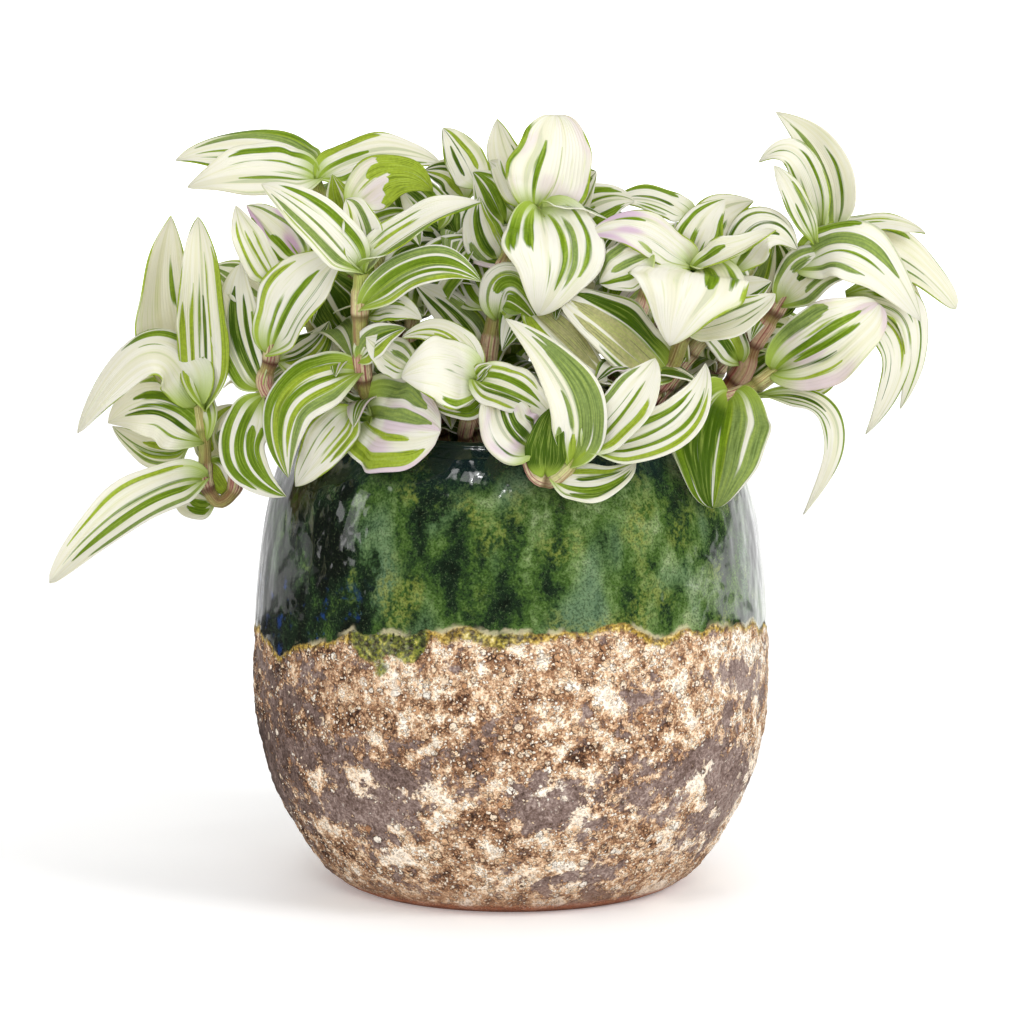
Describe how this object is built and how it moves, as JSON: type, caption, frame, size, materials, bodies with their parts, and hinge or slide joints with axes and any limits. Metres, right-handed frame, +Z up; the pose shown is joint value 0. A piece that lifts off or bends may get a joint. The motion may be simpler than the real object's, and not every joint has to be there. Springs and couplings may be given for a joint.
{
  "type": "potted plant",
  "caption": "Variegated trailing inch plant with striped green and cream leaves, growing in soil in a nursery pot inside a round-bellied glazed stoneware cover pot.",
  "frame": {"origin": "middle of the pot's flat underside, on the surface that it stands on", "axes": "+Z up, the front of the plant looks along -Y, +X to the right of a viewer in front"},
  "size_m": [0.2892, 0.1922, 0.2515],
  "materials": {
    "glaze": "gloss",
    "nursery_plastic": "satin",
    "potting_soil": "matte",
    "plant_stem": "satin",
    "plant_leaf": "satin"
  },
  "bodies": {
    "root": {"pot": "glaze", "grow_pot": "nursery_plastic", "soil": "potting_soil", "left_stem": "plant_stem", "side_left_stem": "plant_stem", "fan_stem": "plant_stem", "crown_left_stem": "plant_stem", "crown_stem": "plant_stem", "low_stem": "plant_stem", "front_stem": "plant_stem", "middle_right_stem": "plant_stem", "right_stem": "plant_stem", "right_low_stem": "plant_stem", "back_left_stem": "plant_stem", "back_stem": "plant_stem", "back_right_stem": "plant_stem", "left_leaf_1": "plant_leaf", "left_leaf_2": "plant_leaf", "left_leaf_3": "plant_leaf", "left_leaf_4": "plant_leaf", "left_leaf_5": "plant_leaf", "crown_left_leaf_1": "plant_leaf", "crown_left_leaf_2": "plant_leaf", "crown_left_leaf_3": "plant_leaf", "fan_leaf_1": "plant_leaf", "fan_leaf_2": "plant_leaf", "fan_leaf_3": "plant_leaf", "side_left_leaf_1": "plant_leaf", "side_left_leaf_2": "plant_leaf", "side_left_leaf_3": "plant_leaf", "fan_leaf_4": "plant_leaf", "side_left_leaf_4": "plant_leaf", "crown_leaf_1": "plant_leaf", "crown_leaf_2": "plant_leaf", "crown_leaf_3": "plant_leaf", "crown_leaf_4": "plant_leaf", "low_leaf_1": "plant_leaf", "low_leaf_2": "plant_leaf", "low_leaf_3": "plant_leaf", "round_leaf": "plant_leaf", "front_leaf_1": "plant_leaf", "front_leaf_2": "plant_leaf", "front_leaf_3": "plant_leaf", "front_leaf_4": "plant_leaf", "hanging_leaf": "plant_leaf", "middle_right_leaf_1": "plant_leaf", "middle_right_leaf_2": "plant_leaf", "middle_right_leaf_3": "plant_leaf", "middle_right_leaf_4": "plant_leaf", "middle_right_leaf_5": "plant_leaf", "right_leaf_1": "plant_leaf", "right_leaf_2": "plant_leaf", "right_leaf_3": "plant_leaf", "right_leaf_4": "plant_leaf", "right_leaf_5": "plant_leaf", "back_left_leaf_1": "plant_leaf", "back_left_leaf_2": "plant_leaf", "back_leaf_1": "plant_leaf", "back_leaf_2": "plant_leaf", "back_right_leaf_1": "plant_leaf"}
  },
  "joints": []
}
